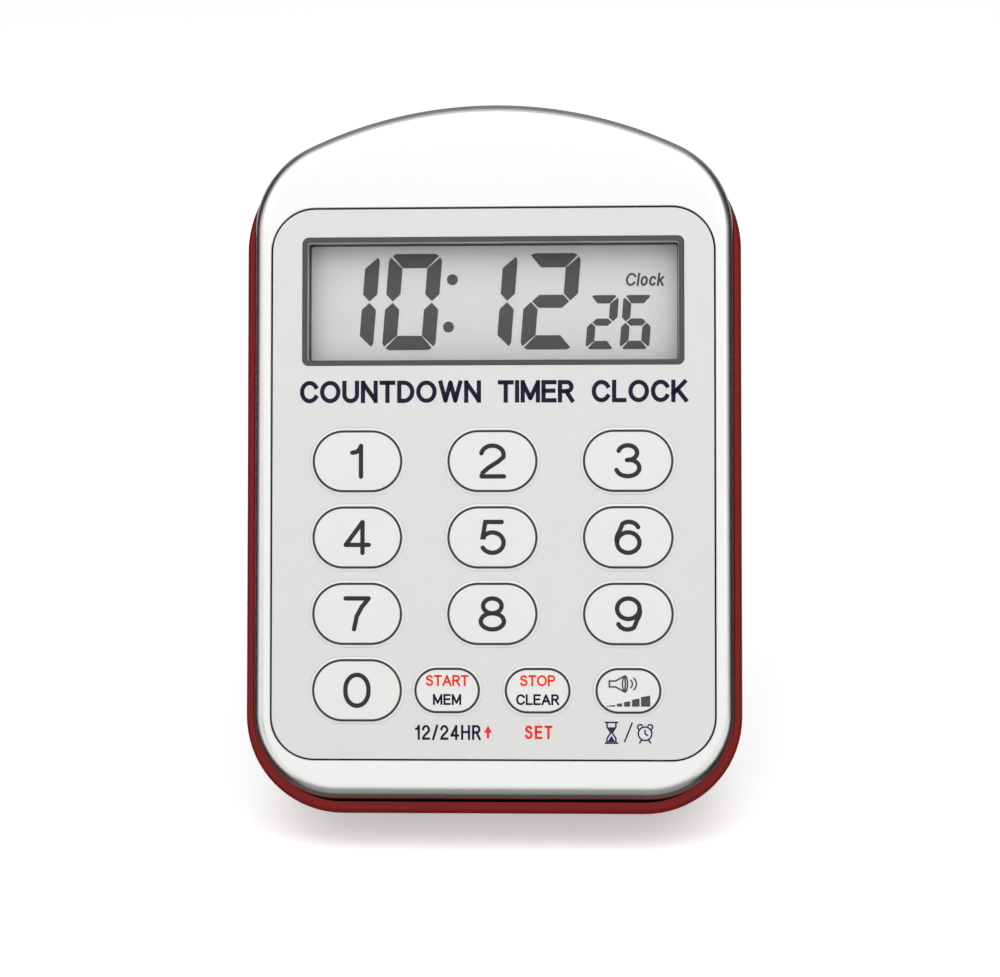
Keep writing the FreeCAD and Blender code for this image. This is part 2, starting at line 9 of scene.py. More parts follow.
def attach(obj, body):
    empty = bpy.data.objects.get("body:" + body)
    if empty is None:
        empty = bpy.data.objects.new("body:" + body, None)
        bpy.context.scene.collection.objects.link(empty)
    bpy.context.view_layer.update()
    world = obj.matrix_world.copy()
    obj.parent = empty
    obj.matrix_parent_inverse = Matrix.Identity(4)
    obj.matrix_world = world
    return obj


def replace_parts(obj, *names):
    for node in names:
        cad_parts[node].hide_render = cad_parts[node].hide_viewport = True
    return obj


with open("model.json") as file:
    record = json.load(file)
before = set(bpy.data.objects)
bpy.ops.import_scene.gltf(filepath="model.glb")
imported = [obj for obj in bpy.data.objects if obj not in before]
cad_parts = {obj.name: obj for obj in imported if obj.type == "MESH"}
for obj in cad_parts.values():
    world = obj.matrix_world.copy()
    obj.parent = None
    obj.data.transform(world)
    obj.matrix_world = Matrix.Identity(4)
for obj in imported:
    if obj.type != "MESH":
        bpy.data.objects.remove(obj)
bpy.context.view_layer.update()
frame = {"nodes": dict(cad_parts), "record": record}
record = frame["record"]
nodes = frame["nodes"]

# The face frame: millimetres, x to the right, y into the case, z up the face. Its origin is on the
# bezel's front plane, level with the bezel's lowest edge.
depthDir = np.array(next(m for m in record["mounts"] if m["name"] == "magnet_back")["axis"], float)
rightDir = np.array([1.0, 0.0, 0.0])
upDir = np.cross(rightDir, depthDir)
axes = np.stack([rightDir, depthDir, upDir])


def meshPoints(name):
    mesh = nodes[name].data
    co = np.zeros(len(mesh.vertices) * 3, np.float32)
    mesh.vertices.foreach_get("co", co)
    return co.reshape(-1, 3).astype(float)


bezelLow = (meshPoints("front_bezel") @ axes.T).min(0)
faceOrigin = np.array([0.0, bezelLow[1], bezelLow[2]]) @ axes


def toWorld(points):
    # face millimetres to metres in the row frame
    return np.asarray(points, float) @ axes / 1000 + faceOrigin


def toFace(point):
    return (np.asarray(point, float) - faceOrigin) @ axes.T * 1000


def nodeSpan(name):
    # lowest and highest face coordinates of a CAD node
    local = toFace(meshPoints(name))
    return local.min(0), local.max(0)


def makePiece(name, points, faces, body, material, smooth=True):
    # points are face millimetres; the object stays at the origin with its place in its mesh
    mesh = bpy.data.meshes.new(name)
    mesh.from_pydata([tuple(p) for p in toWorld(points)], [], [tuple(int(i) for i in f) for f in faces])
    mesh.polygons.foreach_set("use_smooth", np.full(len(mesh.polygons), smooth))
    mesh.validate()
    mesh.update()
    obj = bpy.data.objects.new(name, mesh)
    bpy.context.scene.collection.objects.link(obj)
    mesh.materials.append(material)
    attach(obj, body)
    return obj


def gridFaces(rows, columns, closedRows=False, closedColumns=True):
    # quads between a stack of loops: row k joins row k + 1
    r = np.arange(rows if closedRows else rows - 1)
    c = np.arange(columns if closedColumns else columns - 1)
    i, j = np.meshgrid(r, c, indexing="ij")
    ni, nj = (i + 1) % rows, (j + 1) % columns
    quads = np.stack([i * columns + j, i * columns + nj, ni * columns + nj, ni * columns + j], -1)
    return quads.reshape(-1, 4)


def resample(path, count):
    # equal steps along a closed line of points
    closed = np.vstack([path, path[:1]])
    length = np.concatenate([[0], np.cumsum(np.linalg.norm(np.diff(closed, axis=0), axis=1))])
    at = np.arange(count) / count * length[-1]
    return np.stack([np.interp(at, length, closed[:, k]) for k in range(closed.shape[1])], 1)


def arc(cx, cz, r, start, end, count):
    # angles in degrees, clockwise from straight up
    a = np.radians(np.linspace(start, end, count))
    return np.stack([cx + r * np.sin(a), cz + r * np.cos(a)], 1), np.stack([np.sin(a), np.cos(a)], 1)


def archedLoop(shape, count):
    # Outline of an arched plate with its outward directions: arch, shoulder, side, lower corner, base,
    # taken clockwise from the crown. A parallel outline is the points plus grow times the directions.
    half, bottom, top = shape["half"], shape["bottom"], shape["top"]
    arch, shoulder, corner = shape["arch"], shape["shoulder"], shape["corner"]
    cz = top - arch
    sx = half - shoulder
    sz = cz + math.sqrt((arch - shoulder) ** 2 - sx ** 2)
    lean = math.degrees(math.atan2(sx, sz - cz))
    parts = [arc(0, cz, arch, 0, lean, 60), arc(sx, sz, shoulder, lean, 90, 60),
             arc(half - corner, bottom + corner, corner, 90, 180, 60)]
    right = np.vstack([p[0] for p in parts])
    rightN = np.vstack([p[1] for p in parts])
    left = right[::-1] * [-1, 1]
    leftN = rightN[::-1] * [-1, 1]
    both = resample(np.hstack([np.vstack([right, left[:-1]]), np.vstack([rightN, leftN[:-1]])]), count)
    normal = both[:, 2:]
    return both[:, :2], normal / np.linalg.norm(normal, axis=1)[:, None]


def roundedRect(w, h, r, cx, cz, count):
    # rounded rectangle, clockwise from the middle of its top
    parts = [arc(w / 2 - r, h / 2 - r, r, 0, 90, 24)[0], arc(w / 2 - r, r - h / 2, r, 90, 180, 24)[0],
             arc(r - w / 2, r - h / 2, r, 180, 270, 24)[0], arc(r - w / 2, h / 2 - r, r, 270, 360, 24)[0]]
    path = np.vstack([[[0, h / 2]]] + parts)
    return resample(path, count) + [cx, cz]


def stack(loops, depths):
    # loops in x and z, each at its own depth, as one run of points
    return np.vstack([np.column_stack([l[:, 0], np.broadcast_to(d, len(l)), l[:, 1]])
                      for l, d in zip(loops, depths)])


def linear(hexColour):
    # sRGB hex to the linear colour that shaders take
    c = np.array([int(hexColour[i:i + 2], 16) for i in (1, 3, 5)]) / 255
    c = np.where(c <= 0.04045, c / 12.92, ((c + 0.055) / 1.055) ** 2.4)
    return (float(c[0]), float(c[1]), float(c[2]), 1.0)


def newMaterial(name, colour, roughness, **sockets):
    m = bpy.data.materials.new(name)
    m.use_nodes = True
    shader = m.node_tree.nodes["Principled BSDF"]
    shader.inputs["Base Color"].default_value = linear(colour)
    shader.inputs["Roughness"].default_value = roughness
    for key, value in sockets.items():
        shader.inputs[key.replace("_", " ")].default_value = value
    return m, m.node_tree, shader


def addNode(tree, kind, links=(), **settings):
    # one node with its settings; links are (input name or index, output socket)
    n = tree.nodes.new(kind)
    for key, value in settings.items():
        if key.startswith("in_"):
            name = key[3:].replace("_", " ")
            n.inputs[int(name) if name.isdigit() else name].default_value = value
        else:
            setattr(n, key, value)
    for name, socket in links:
        tree.links.new(socket, n.inputs[name])
    return n


def grain(tree, shader, sizeMm, strength, heightMm, detail=2.0):
    # fine moulded grain: noise of this grain size, as bump
    coord = addNode(tree, "ShaderNodeTexCoord")
    noise = addNode(tree, "ShaderNodeTexNoise", [("Vector", coord.outputs["Object"])],
                    in_Scale=1000 / sizeMm, in_Detail=detail, in_Roughness=0.5)
    bump = addNode(tree, "ShaderNodeBump", [("Height", noise.outputs["Fac"])],
                   in_Strength=strength, in_Distance=heightMm / 1000)
    tree.links.new(bump.outputs["Normal"], shader.inputs["Normal"])
    return noise


def mottle(tree, shader, darkHex, lightHex, sizeMm):
    # slow change of colour over the surface
    coord = addNode(tree, "ShaderNodeTexCoord")
    noise = addNode(tree, "ShaderNodeTexNoise", [("Vector", coord.outputs["Object"])],
                    in_Scale=1000 / sizeMm, in_Detail=3.0)
    ramp = addNode(tree, "ShaderNodeMix", [("Factor", noise.outputs["Fac"])], data_type="RGBA")
    ramp.inputs[6].default_value = linear(darkHex)
    ramp.inputs[7].default_value = linear(lightHex)
    tree.links.new(ramp.outputs[2], shader.inputs["Base Color"])


def buildMaterials():
    made = {}
    # vacuum-metallised ABS under satin lacquer: bright, with soft-edged reflections
    m, tree, shader = newMaterial("satinChromeLacquer", "#F4F4F2", 0.26, Metallic=1.0)
    grain(tree, shader, 0.35, 0.03, 0.01)
    made["satin_silver"] = m
    # velvet-finish polycarbonate film: no gloss, faint fine grain
    m, tree, shader = newMaterial("velvetPolycarbonateFilm", "#D5D5D4", 0.55)
    mottle(tree, shader, "#D3D3D2", "#D7D7D6", 3.0)
    grain(tree, shader, 0.30, 0.10, 0.02)
    made["panel_white"] = m
    # the same film, embossed over the keys
    m, tree, shader = newMaterial("embossedKeyFilm", "#DFDEDC", 0.50)
    mottle(tree, shader, "#DDDCDA", "#E1E0DE", 3.0)
    grain(tree, shader, 0.30, 0.10, 0.02)
    made["key_white"] = m
    # injection-moulded ABS, polished tool: deep red with clear highlights
    m, tree, shader = newMaterial("mouldedRedABS", "#74110C", 0.28, Specular_IOR_Level=0.2)
    mottle(tree, shader, "#70100B", "#78120D", 8.0)
    grain(tree, shader, 0.5, 0.04, 0.01)
    made["case_red"] = m
    # dark grey printed surround; on the walls that run in to the display a light grey painted highlight,
    # then painted shade darkening to near black deep in the recess
    m, tree, shader = newMaterial("greySurroundPaintedWallHighlightAndShade", "#484848", 0.45, Specular_IOR_Level=0.3)
    coord = addNode(tree, "ShaderNodeTexCoord")
    depth = addNode(tree, "ShaderNodeVectorMath", [(0, coord.outputs["Object"])], operation="DOT_PRODUCT")
    depth.inputs[1].default_value = tuple(depthDir)
    start = float(faceOrigin @ depthDir)
    wall = addNode(tree, "ShaderNodeMapRange", [("Value", depth.outputs["Value"])])
    wall.inputs["From Min"].default_value = start
    wall.inputs["From Max"].default_value = start + 0.004
    ramp = addNode(tree, "ShaderNodeValToRGB", [(0, wall.outputs["Result"])])
    # the light stops are a painted highlight on the walls; the stops darkening to near black are painted
    # shade deep in the recess
    paintedHighlightAndShadeStops = ((0.03, "#484848"), (0.045, "#B8B8B8"), (0.22, "#B8B8B8"), (0.32, "#606060"), (0.40, "#0C0C0C"))
    paintedHighlightAndShadeBands = ramp.color_ramp.elements
    while len(paintedHighlightAndShadeBands) < len(paintedHighlightAndShadeStops):
        paintedHighlightAndShadeBands.new(0.5)
    for band, (at, colour) in zip(paintedHighlightAndShadeBands, paintedHighlightAndShadeStops):
        band.position = at
        band.color = linear(colour)
    tree.links.new(ramp.outputs["Color"], shader.inputs["Base Color"])
    made["frame_grey"] = m
    # cast acrylic: clear, seen only by its gloss
    m, tree, shader = newMaterial("clearAcrylic", "#F4F6F6", 0.04, Alpha=0.035, IOR=1.49)
    grain(tree, shader, 6.0, 0.01, 0.01)
    made["clear_window"] = m
    # reflective twisted-nematic cell: grey, faintly sparkling
    m, tree, shader = newMaterial("reflectiveLcdCell", "#CFCFCE", 0.42)
    mottle(tree, shader, "#CBCBCA", "#D2D2D2", 2.0)
    made["lcd_grey"] = m
    # darkened liquid crystal under its polariser
    m, tree, shader = newMaterial("darkenedLiquidCrystal", "#2E2C27", 0.40, Specular_IOR_Level=0.1)
    mottle(tree, shader, "#2C2A25", "#302E29", 2.0)
    made["lcd_dark"] = m
    # screen-printed inks
    for key, name, colour in (("ink_grey", "greyScreenInk", "#383838"),
                              ("ink_navy", "navyScreenInk", "#0A0A2A"),
                              ("ink_red", "redScreenInk", "#E62A0A"),
                              ("ink_dark", "charcoalScreenInk", "#2C2C2C"),
                              ("ink_blue", "slateScreenInk", "#1C2650"),
                              ("ink_soft", "softGreyScreenInk", "#484848")):
        m, tree, shader = newMaterial(name, colour, 0.5, Specular_IOR_Level=0.2)
        grain(tree, shader, 0.2, 0.05, 0.01)
        made[key] = m
    plain = {
        "reflector_film": ("reflectorFilm", "#C4C6C2", 0.35, 0.6),
        "black_abs": ("blackABS", "#161616", 0.5, 0.0),
        "zebra_rubber": ("zebraElastomer", "#5A3A40", 0.6, 0.0),
        "dome_steel": ("domeSteel", "#B0B0AE", 0.3, 1.0),
        "board_green": ("solderResist", "#1E5A34", 0.35, 0.0),
        "steel_screw": ("zincPlatedSteel", "#A8A8A6", 0.3, 1.0),
        "epoxy_black": ("blackEpoxy", "#0E0E0E", 0.25, 0.0),
        "bright_metal": ("nickelPlate", "#C8C6C0", 0.18, 1.0),
        "buzzer_brass": ("rolledBrass", "#C8A04A", 0.3, 1.0),
        "buzzer_white": ("piezoCeramic", "#DAD6C8", 0.4, 0.0),
        "wire_red": ("redInsulation", "#B01414", 0.4, 0.0),
        "wire_black": ("blackInsulation", "#141414", 0.4, 0.0),
        "battery_wrap": ("printedCellSleeve", "#2B2F38", 0.3, 0.0),
        "stand_rubber": ("mouldedRubber", "#1A1A1A", 0.7, 0.0),
    }
    for key, (name, colour, rough, metal) in plain.items():
        m, tree, shader = newMaterial(name, colour, rough, Metallic=metal)
        grain(tree, shader, 0.4, 0.08, 0.01)
        made[key] = m
    return made


materials = buildMaterials()
print("materials ready:", len(materials))

slotOf = {s["node"]: s["material_slot"] for s in record["subparts"]}
for name, obj in nodes.items():
    obj.data.materials.clear()
    obj.data.materials.append(materials[slotOf[name]])
    obj.data.polygons.foreach_set("use_smooth", np.full(len(obj.data.polygons), True))
    weld = obj.modifiers.new("weld", "WELD")
    weld.merge_threshold = 2e-6
    split = obj.modifiers.new("crease", "EDGE_SPLIT")
    split.split_angle = math.radians(28)

bezelLow, bezelHigh = nodeSpan("front_bezel")
panelLow, panelHigh = nodeSpan("keypad_panel")
bezel = {"half": bezelHigh[0], "bottom": 0.0, "top": bezelHigh[2],
         "arch": 62.0, "shoulder": 13.6, "corner": 12.1,
         "edge": 2.4, "roll": 77.0, "skirt": 4.5, "wall": 1.6, "floor": 2.6, "gap": 0.25,
         "openingCorner": 6.35,
         "flareSide": 0.12, "flareBottom": 0.50, "steps": 900}


def makeBezel():
    # Cross-section carried round the outline: flat face, an arc of roll degrees down to the case, back in
    # under that edge, the skirt, the inner wall and the panel opening. The edge flares out most along the
    # bottom.
    n = bezel["steps"]
    outline, normal = archedLoop(bezel, n)
    w = panelHigh[0] - panelLow[0] + 2 * bezel["gap"]
    h = panelHigh[2] - panelLow[2] + 2 * bezel["gap"]
    cz, r = (panelHigh[2] + panelLow[2]) / 2, bezel["openingCorner"]
    hole = roundedRect(w, h, r, 0, cz, n)
    rim = roundedRect(w + 0.16, h + 0.16, r + 0.08, 0, cz, n)
    flare = bezel["flareSide"] * np.clip(1 - np.clip(normal[:, 1], 0, 1) ** 2, 0, 1)
    flare += (bezel["flareBottom"] - bezel["flareSide"]) * np.clip(-normal[:, 1], 0, 1) ** 2
    edge = bezel["edge"]
    outer = outline + normal * flare[:, None]
    face = outer - normal * edge
    loops, depths = [hole, hole, rim], [bezel["floor"], 0.08, 0.0]
    for t in (0.35, 0.7):
        loops.append(rim * (1 - t) + face * t)
        depths.append(0.0)
    for phi in np.radians(np.linspace(0, bezel["roll"], 25)):
        loops.append(outer - normal * edge * (1 - math.sin(phi)))
        depths.append(edge * (1 - math.cos(phi)))
    for grow, d in ((-0.10, 0.02), (-0.16, 0.03)):
        loops.append(outer + normal * grow)
        depths.append(depths[-1] + d)
    for grow, d in ((-0.06, 2.0), (-0.06, bezel["skirt"] - 0.2), (-0.2, bezel["skirt"]),
                    (-bezel["wall"], bezel["skirt"]), (-bezel["wall"], bezel["floor"])):
        loops.append(outline + normal * grow)
        depths.append(d)
    quads = gridFaces(len(loops), n, closedRows=True)
    obj = makePiece("bezelShell", stack(loops, depths), quads, "case",
                    materials["satin_silver"])
    split = obj.modifiers.new("crease", "EDGE_SPLIT")
    split.split_angle = math.radians(34)
    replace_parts(obj, "front_bezel")
    return obj


makeBezel()
print("bezel done")

keyLook = {"gap": 0.02, "rise": 0.14, "skirt": 0.42, "crown": 0.05, "panelDepth": 0.10, "steps": 240,
           "outline": 0.33, "outlineInset": 0.36, "inkLift": 0.012}
keyTable = {}


def stadiumLoop(w, h, cx, cz, count):
    # two half circles of half the height, joined by straight lines
    r = h / 2
    x = w / 2 - r
    path = np.vstack([arc(x, 0, r, 0, 180, 48)[0], arc(-x, 0, r, 180, 360, 48)[0]])
    return resample(np.vstack([[[0, r]], path]), count) + [cx, cz]


def makeKey(name):
    # A pillow: level with the panel at its edge, rising over a soft skirt, then slightly crowned.
    low, high = nodeSpan(name)
    stemless = 2 * 0.30
    w, h = high[0] - low[0] - stemless, high[2] - low[2] - stemless
    cx, cz = (low[0] + high[0]) / 2, (low[2] + high[2]) / 2
    grow = 2 * (0.14 - keyLook["gap"])
    w, h = w + grow, h + grow
    keyTable[name] = (cx, cz, w, h)
    loops, depths = [], []
    n = keyLook["steps"]
    for inset, d in ((0.4, 3.0), (0.0, 3.0 - 0.4), (0.0, keyLook["panelDepth"] + 0.05)):
        loops.append(stadiumLoop(w - 2 * inset, h - 2 * inset, cx, cz, n))
        depths.append(d)
    for t in np.linspace(0, 1, 13):
        inset = 0.02 + keyLook["skirt"] * t
        lift = keyLook["rise"] * (3 * t ** 2 - 2 * t ** 3)
        loops.append(stadiumLoop(w - 2 * inset, h - 2 * inset, cx, cz, n))
        depths.append(keyLook["panelDepth"] - lift)
    inset0 = 0.02 + keyLook["skirt"]
    for t in np.linspace(0.1, 0.98, 12):
        inset = inset0 + (h / 2 - inset0) * t
        lift = keyLook["rise"] + keyLook["crown"] * (1 - (1 - t) ** 2)
        loops.append(stadiumLoop(w - 2 * inset, max(h - 2 * inset, 0.02), cx, cz, n))
        depths.append(keyLook["panelDepth"] - lift)
    quads = gridFaces(len(loops), n)
    points = stack(loops, depths)
    caps = [list(range(n))[::-1], list(range((len(loops) - 1) * n, len(loops) * n))]
    return makePiece(name + "_pad", points, list(quads) + caps, name + "_cap",
                     materials["key_white"])


keyNames = sorted(n for n in nodes if n.startswith("key_"))
keyBodies = {n: n + "_cap" for n in keyNames}


def surfaceDepth(name, x, z):
    # depth of a key's film at a point, for laying ink on it: distance in from the outline sets the lift
    cx, cz, w, h = keyTable[name]
    r = h / 2
    dx = np.maximum(np.abs(x - cx) - (w / 2 - r), 0)
    inset = r - np.hypot(dx, z - cz)
    inset0 = 0.02 + keyLook["skirt"]
    t = np.clip((inset - 0.02) / keyLook["skirt"], 0, 1)
    lift = keyLook["rise"] * (3 * t ** 2 - 2 * t ** 3)
    u = np.clip((inset - inset0) / (h / 2 - inset0), 0, 1)
    return keyLook["panelDepth"] - lift - keyLook["crown"] * (1 - (1 - u) ** 2)


def makeOutline(name):
    # printed ring: a band of the ring's width between two stadiums
    cx, cz, w, h = keyTable[name]
    n = keyLook["steps"]
    points = []
    for k in np.linspace(0, 1, 4):
        inset = keyLook["outlineInset"] + keyLook["outline"] * k
        loop = stadiumLoop(w - 2 * inset, h - 2 * inset, cx, cz, n)
        d = surfaceDepth(name, loop[:, 0], loop[:, 1]) - keyLook["inkLift"]
        points.append(np.column_stack([loop[:, 0], d, loop[:, 1]]))
    obj = makePiece(name + "_ring", np.vstack(points), gridFaces(4, n), keyBodies[name],
                    materials["ink_grey"])
    return obj


for name in keyNames:
    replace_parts(makeKey(name), name)
    makeOutline(name)
print("keys done:", len(keyNames))

# Each glyph is a list of strokes in a box 1 high; a stroke is a list of points or arcs.
def curve(cx, cz, rx, rz, start, end, count=28):
    # part of an ellipse: centre plus each radius times the sine and cosine, clockwise from straight up
    a = np.radians(np.linspace(start, end, count))
    return np.stack([cx + rx * np.sin(a), cz + rz * np.cos(a)], 1)


def join(*parts):
    # points and arcs, one after another, as one stroke
    return np.vstack([np.atleast_2d(np.asarray(p, float)) for p in parts])


glyphs = {
    "A": (0.80, [join((0, 0), (0.40, 1), (0.80, 0)), join((0.13, 0.33), (0.67, 0.33))]),
    "C": (0.78, [curve(0.42, 0.5, 0.42, 0.5, 55, -235)]),
    "D": (0.72, [join((0, 0), (0, 1), (0.26, 1), curve(0.26, 0.5, 0.46, 0.5, 0, 180), (0, 0))]),
    "E": (0.60, [join((0.60, 1), (0, 1), (0, 0), (0.60, 0)), join((0, 0.53), (0.54, 0.53))]),
    "H": (0.70, [join((0, 0), (0, 1)), join((0.70, 0), (0.70, 1)), join((0, 0.53), (0.70, 0.53))]),
    "I": (0.0, [join((0, 0), (0, 1))]),
    "K": (0.68, [join((0, 0), (0, 1)), join((0.62, 1), (0, 0.36)), join((0.22, 0.58), (0.68, 0))]),
    "L": (0.56, [join((0, 1), (0, 0), (0.56, 0))]),
    "M": (0.84, [join((0, 0), (0, 1), (0.42, 0.12), (0.84, 1), (0.84, 0))]),
    "N": (0.70, [join((0, 0), (0, 1), (0.70, 0), (0.70, 1))]),
    "O": (0.90, [curve(0.45, 0.5, 0.45, 0.5, 0, 360, 49)]),
    "P": (0.62, [join((0, 0), (0, 1), (0.36, 1), curve(0.36, 0.74, 0.26, 0.26, 0, 180), (0, 0.48))]),
    "R": (0.66, [join((0, 0), (0, 1), (0.38, 1), curve(0.38, 0.75, 0.25, 0.25, 0, 180), (0, 0.50)),
                 join((0.34, 0.50), (0.66, 0))]),
    "S": (0.64, [join(curve(0.32, 0.75, 0.28, 0.25, 62, -110), curve(0.32, 0.27, 0.31, 0.27, 20, 250))]),
    "T": (0.64, [join((0, 1), (0.64, 1)), join((0.32, 1), (0.32, 0))]),
    "U": (0.70, [join((0, 1), (0, 0.35), curve(0.35, 0.35, 0.35, 0.35, -90, -270), (0.70, 1))]),
    "W": (1.08, [join((0, 1), (0.27, 0), (0.54, 1), (0.81, 0), (1.08, 1))]),
    "/": (0.40, [join((0, -0.02), (0.40, 1.02))]),
    "0": (0.62,
          [join(curve(0.31, 0.54, 0.31, 0.46, -90, 90), curve(0.31, 0.46, 0.31, 0.46, 90, 270), (0, 0.54))]),
    "1": (0.26, [join((0.0, 0.78), (0.12, 0.80), (0.21, 0.88), (0.26, 1.0), (0.26, 0.0))]),
    "2": (0.62,
          [join(curve(0.31, 0.70, 0.30, 0.30, -80, 105), (0.46, 0.48), (0.20, 0.28), (0.05, 0.12),
                (0.02, 0.0),
                      (0.62, 0.0))]),
    "3": (0.62, [join(curve(0.30, 0.76, 0.25, 0.24, -75, 170), (0.28, 0.52)),
                 join((0.28, 0.52), curve(0.30, 0.27, 0.31, 0.27, 10, 255))]),
    "4": (0.66, [join((0.66, 0.26), (0.0, 0.26), (0.48, 1.0), (0.48, 0.0))]),
    "5": (0.62,
          [join((0.56, 1.0), (0.12, 1.0), (0.05, 0.50), (0.08, 0.50),
                curve(0.31, 0.33, 0.30, 0.33, -45, 240))]),
    "6": (0.62, [join(curve(0.33, 0.70, 0.27, 0.30, 65, -40), curve(0.36, 0.42, 0.36, 0.42, -55, -95, 8)),
                 curve(0.31, 0.33, 0.30, 0.33, -90, 270, 49)]),
    "7": (0.60, [join((0.0, 1.0), (0.60, 1.0), (0.42, 0.72), (0.29, 0.42), (0.22, 0.0))]),
    "8": (0.60, [curve(0.30, 0.76, 0.24, 0.24, 180, 540, 49), curve(0.30, 0.26, 0.30, 0.26, 0, 360, 49)]),
    "9": (0.62, [curve(0.31, 0.67, 0.30, 0.33, 0, 360, 49),
                 join(curve(0.29, 0.30, 0.27, 0.30, 245, 140), curve(0.26, 0.58, 0.36, 0.42, 125, 85, 8))]),
    "l": (0.0, [join((0, 0), (0, 1))]),
    "o": (0.50, [curve(0.25, 0.36, 0.25, 0.36, 0, 360, 33)]),
    "c": (0.46, [curve(0.25, 0.36, 0.25, 0.36, 50, -230)]),
    "k": (0.46, [join((0, 0), (0, 1)), join((0.42, 0.70), (0.02, 0.30)), join((0.16, 0.44), (0.46, 0))]),
}


def strokeMesh(path, width, roundEnds):
    # Ribbon: each point moved half the width to either side along the mitred normal, with fans at round
    # ends.
    path = np.asarray(path, float)
    keep = np.concatenate([[True], np.linalg.norm(np.diff(path, axis=0), axis=1) > 1e-6])
    path = path[keep]
    closed = np.linalg.norm(path[0] - path[-1]) < 1e-6
    step = np.diff(path, axis=0)
    step /= np.linalg.norm(step, axis=1)[:, None]
    before = np.vstack([step[-1:] if closed else step[:1], step])
    after = np.vstack([step, step[:1] if closed else step[-1:]])
    tangent = before + after
    tangent /= np.linalg.norm(tangent, axis=1)[:, None]
    normal = np.stack([-tangent[:, 1], tangent[:, 0]], 1)
    cosine = np.clip((normal * np.stack([-after[:, 1], after[:, 0]], 1)).sum(1), 0.42, 1)
    side = normal * (width / 2 / cosine)[:, None]
    points = np.vstack([path + side, path - side])
    n = len(path)
    i = np.arange(n - 1)
    faces = [list(f) for f in np.stack([i, i + 1, i + 1 + n, i + n], 1)]
    if roundEnds and not closed:
        for end, direction in ((0, -step[0]), (n - 1, step[-1])):
            base = math.atan2(direction[1], direction[0])
            a = base + np.linspace(-math.pi / 2, math.pi / 2, 13)
            fan = path[end] + np.stack([np.cos(a), np.sin(a)], 1) * width / 2
            first = len(points)
            points = np.vstack([points, fan])
            faces.append(list(range(first, first + 13)))
    return points, faces


def textStrokes(text, height, spacing, widen=1.0, slant=0.0):
    # every stroke of a line of text, its left edge at 0, and the line's width
    strokes, x = [], 0.0
    for ch in text:
        if ch == " ":
            x += height * 0.42
            continue
        width, parts = glyphs[ch]
        for p in parts:
            q = p * [widen, 1.0]
            strokes.append(np.stack([x + (q[:, 0] + slant * q[:, 1]) * height, q[:, 1] * height], 1))
        x += width * widen * height + spacing
    return strokes, x - spacing


def splitSharp(path):
    # cut a stroke wherever it doubles back by more than about 100 degrees; says which ends are such corners
    path = np.asarray(path, float)
    path = path[np.concatenate([[True], np.linalg.norm(np.diff(path, axis=0), axis=1) > 1e-6])]
    step = np.diff(path, axis=0)
    step /= np.linalg.norm(step, axis=1)[:, None]
    closed = np.linalg.norm(path[0] - path[-1]) < 1e-6
    cuts = [i + 1 for i in np.nonzero((step[:-1] * step[1:]).sum(1) < -0.2)[0]]
    if closed and not cuts:
        return [(path, True, True)]
    marks = [0] + cuts + [len(path) - 1]
    return [(path[i:j + 1], i in cuts, j in cuts) for i, j in zip(marks[:-1], marks[1:])]


def shortSteps(path, longest):
    # extra points along straight stretches, so that ink can follow a curved key
    steps = [path[:1]]
    for a, b in zip(path[:-1], path[1:]):
        n = max(1, math.ceil(np.linalg.norm(b - a) / longest))
        steps.append(a + (b - a) * (np.arange(1, n + 1) / n)[:, None])
    return np.vstack(steps)


def squareEnd(path, reach):
    # the first point moved outward along its own stroke
    back = path[0] - path[1]
    longer = path.copy()
    longer[0] = path[0] + back / np.linalg.norm(back) * reach
    return longer


def placeStrokes(strokes, width, roundEnds):
    # Round ends get half discs. Otherwise free ends run on by half the width, and so do upright or level
    # strokes at a sharp corner, where a disc fills the joint.
    points, faces = [], []
    count = 0
    for s in strokes:
        for part, sharpStart, sharpEnd in splitSharp(s):
            loose = np.linalg.norm(part[0] - part[-1]) > 1e-6
            joints = []
            if not roundEnds and loose:
                for sharp in (sharpStart, sharpEnd):
                    level = np.abs(part[0] - part[1]).min() < 1e-6
                    if sharp:
                        joints.append(part[0].copy())
                    if level or not sharp:
                        part = squareEnd(part, width / 2)
                    part = part[::-1]
            p, f = strokeMesh(shortSteps(part, 0.35), width, roundEnds)
            for joint in joints:
                f = f + [list(range(len(p), len(p) + 16))]
                p = np.vstack([p, curve(joint[0], joint[1], width / 2, width / 2, 0, 360, 17)[:-1]])
            points.append(p)
            faces += [[i + count for i in g] for g in f]
            count += len(p)
    return np.vstack(points), faces


def facing(points, faces):
    # turn each face so that its front looks out of the panel
    out = []
    for f in faces:
        p = points[f]
        area = ((p[:, 0] * np.roll(p[:, 1], -1)) - (np.roll(p[:, 0], -1) * p[:, 1])).sum()
        out.append(f if area > 0 else f[::-1])
    return out


def inkPiece(name, points, faces, depth, body, material):
    # flat print: points in x and z, each laid at its own depth
    faces = facing(points, faces)
    return makePiece(name, np.column_stack([points[:, 0], depth, points[:, 1]]), faces, body,
                     material,
                     smooth=False)


